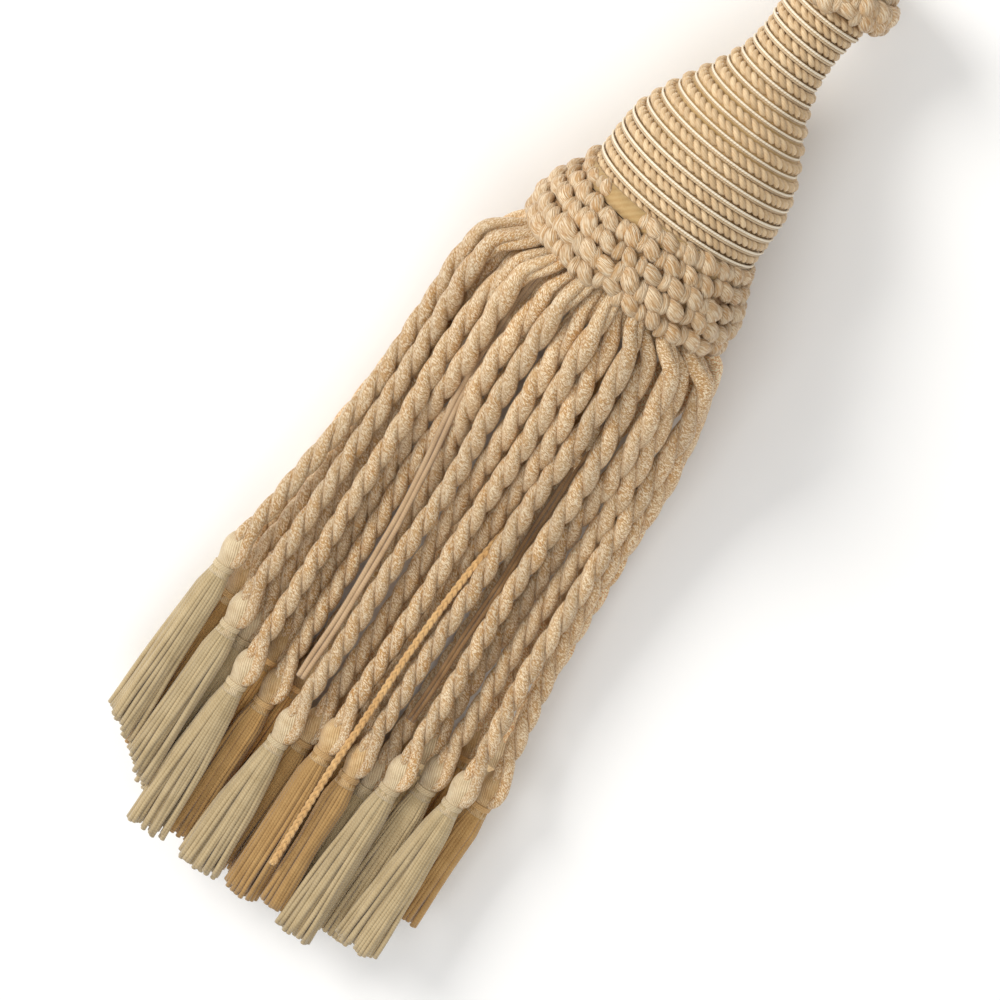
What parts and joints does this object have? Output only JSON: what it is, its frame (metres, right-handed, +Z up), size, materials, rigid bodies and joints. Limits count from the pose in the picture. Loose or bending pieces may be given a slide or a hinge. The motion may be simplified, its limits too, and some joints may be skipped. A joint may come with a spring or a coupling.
{
  "type": "curtain tieback tassel",
  "caption": "Large curtain tieback tassel lying flat: cord-wound bell mould, knotted ruff, skirt of twisted ropes ending in small cream and gold tassels.",
  "frame": {"origin": "on the resting surface, under the middle of the tassel's footprint", "axes": "+Y along the tassel towards its head, +X across it, +Z up from the surface it lies on"},
  "size_m": [0.0964, 0.2915, 0.059],
  "materials": {
    "head_cord": "tan twisted cord with a white thread between turns",
    "knotted_cord": "shiny cream and gold braided cord, knotted",
    "skirt_rope": "shiny cream and gold two-ply rope",
    "cream_yarn": "matte cream yarn",
    "gold_yarn": "matte gold yarn"
  },
  "bodies": {
    "root": {"head": "head_cord", "ruff": "knotted_cord", "top_knot": "knotted_cord", "skirt": "skirt_rope", "tassel_01": "cream_yarn", "tassel_02": "gold_yarn", "tassel_03": "cream_yarn", "tassel_04": "cream_yarn", "tassel_05": "cream_yarn", "tassel_06": "gold_yarn", "tassel_07": "gold_yarn", "tassel_08": "gold_yarn", "tassel_09": "cream_yarn", "tassel_10": "gold_yarn", "tassel_11": "gold_yarn", "tassel_12": "gold_yarn", "tassel_13": "gold_yarn", "tassel_14": "cream_yarn", "tassel_15": "cream_yarn", "tassel_16": "cream_yarn", "tassel_17": "cream_yarn", "tassel_18": "cream_yarn", "tassel_19": "gold_yarn", "tassel_20": "cream_yarn", "tassel_21": "gold_yarn", "tassel_22": "gold_yarn", "tassel_23": "cream_yarn", "tassel_24": "gold_yarn", "tassel_25": "gold_yarn", "tassel_26": "cream_yarn", "tassel_27": "gold_yarn", "tassel_28": "gold_yarn", "tassel_29": "cream_yarn"}
  },
  "joints": []
}
